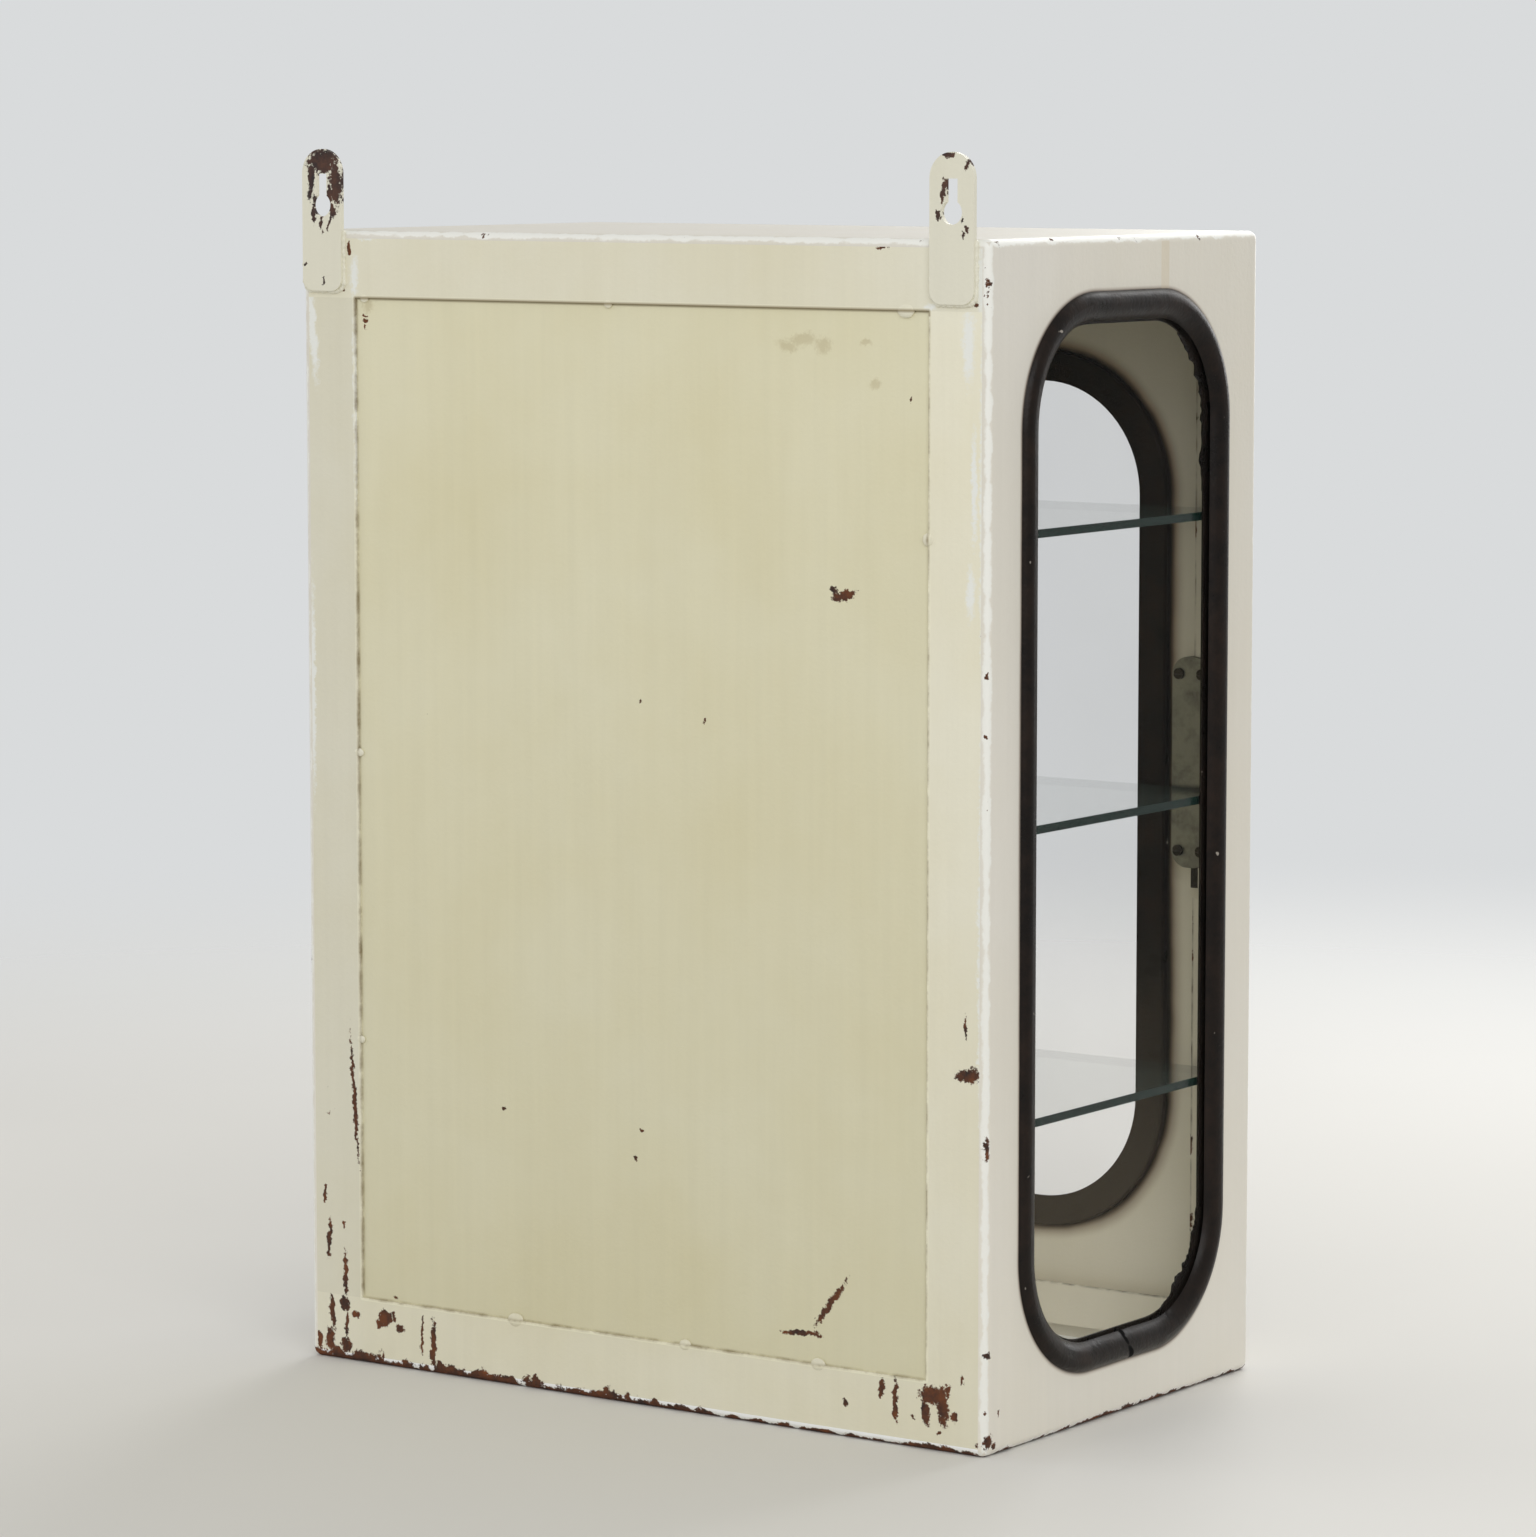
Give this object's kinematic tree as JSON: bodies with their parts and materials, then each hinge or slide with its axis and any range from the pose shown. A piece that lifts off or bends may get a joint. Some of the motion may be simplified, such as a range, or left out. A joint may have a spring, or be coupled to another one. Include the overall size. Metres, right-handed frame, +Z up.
{
  "type": "medicine cabinet",
  "caption": "Wall-hung enamelled steel medicine cabinet with rubber-glazed side windows, a glazed hinged door with lever lock, glass shelves and keyhole hanging lugs.",
  "frame": {"origin": "middle of the underside of the case", "axes": "+Z up; the door faces -Y and the back with its hanging lugs faces +Y; the hinges are at +X"},
  "size_m": [0.5084, 0.3253, 0.749],
  "materials": {
    "enamel": "worn cream enamel",
    "gasket_rubber": "aged black rubber",
    "window_glass": "clear",
    "shelf_glass": "clear, green edges",
    "lock_steel": "dull zinc",
    "handle_chrome": "polished, worn",
    "key_brass": "satin",
    "hinge_brass": "satin"
  },
  "bodies": {
    "case": {"side_panel_left": "enamel", "side_panel_right": "enamel", "top_panel": "enamel", "bottom_panel": "enamel", "back_panel": "enamel", "back_stile_left": "enamel", "back_stile_right": "enamel", "back_rail_top": "enamel", "back_rail_bottom": "enamel", "front_stile_left": "enamel", "front_stile_right": "enamel", "front_rail_top": "enamel", "front_rail_bottom": "enamel", "door_stop_side": "enamel", "door_stop_top": "enamel", "strike_plate": "lock_steel", "hanger_lug_left": "enamel", "hanger_lug_right": "enamel", "side_gasket_left": "gasket_rubber", "side_gasket_right": "gasket_rubber", "side_glass_left": "window_glass", "side_glass_right": "window_glass", "shelf_brackets_left": "enamel", "shelf_brackets_right": "enamel", "shelf_lower": "shelf_glass", "shelf_middle": "shelf_glass", "shelf_upper": "shelf_glass", "upper_hinge_case_knuckle": "enamel", "lower_hinge_case_knuckle": "enamel", "upper_hinge_pin": "lock_steel", "lower_hinge_pin": "lock_steel", "upper_hinge_washer": "hinge_brass", "lower_hinge_washer": "hinge_brass"},
    "door": {"door_panel": "enamel", "door_gasket": "gasket_rubber", "door_glass": "window_glass", "upper_hinge_door_knuckle": "enamel", "lower_hinge_door_knuckle": "enamel", "lock_case": "lock_steel", "lock_cover": "lock_steel", "lock_cover_screws": "lock_steel", "handle_escutcheon": "handle_chrome", "escutcheon_screws": "handle_chrome", "key_cylinder": "handle_chrome"},
    "handle": {"lever_handle": "handle_chrome", "handle_spindle": "lock_steel", "bolt_cam": "lock_steel"},
    "bolt": {"lock_bolt": "lock_steel"},
    "key": {"key_plug": "key_brass", "key_cam": "lock_steel"},
    "dead_bar": {"dead_bar": "lock_steel"}
  },
  "joints": [
    {"name": "door_hinge", "type": "hinge", "parent": "case", "child": "door", "pos_m": [0.23625, -0.1559, 0.35], "axis": [0, 0, 1], "range_deg": [0, 170]},
    {"name": "handle_turn", "type": "hinge", "parent": "door", "child": "handle", "pos_m": [-0.213, -0.15, 0.352], "axis": [0, -1, 0], "range_deg": [0, 90]},
    {"name": "bolt_slide", "type": "slide", "parent": "door", "child": "bolt", "axis": [-1, 0, 0], "range_m": [0, 0.009]},
    {"name": "key_turn", "type": "hinge", "parent": "door", "child": "key", "pos_m": [-0.213, -0.15, 0.402], "axis": [0, -1, 0], "range_deg": [0, 90]},
    {"name": "dead_bar_slide", "type": "slide", "parent": "door", "child": "dead_bar", "axis": [0, 0, -1], "range_m": [0, 0.006]}
  ],
  "couplings": [
    {"joint": "bolt_slide", "follows": "handle_turn", "m_per_rad": 0.0057296},
    {"joint": "dead_bar_slide", "follows": "key_turn", "m_per_rad": 0.0038197}
  ]
}
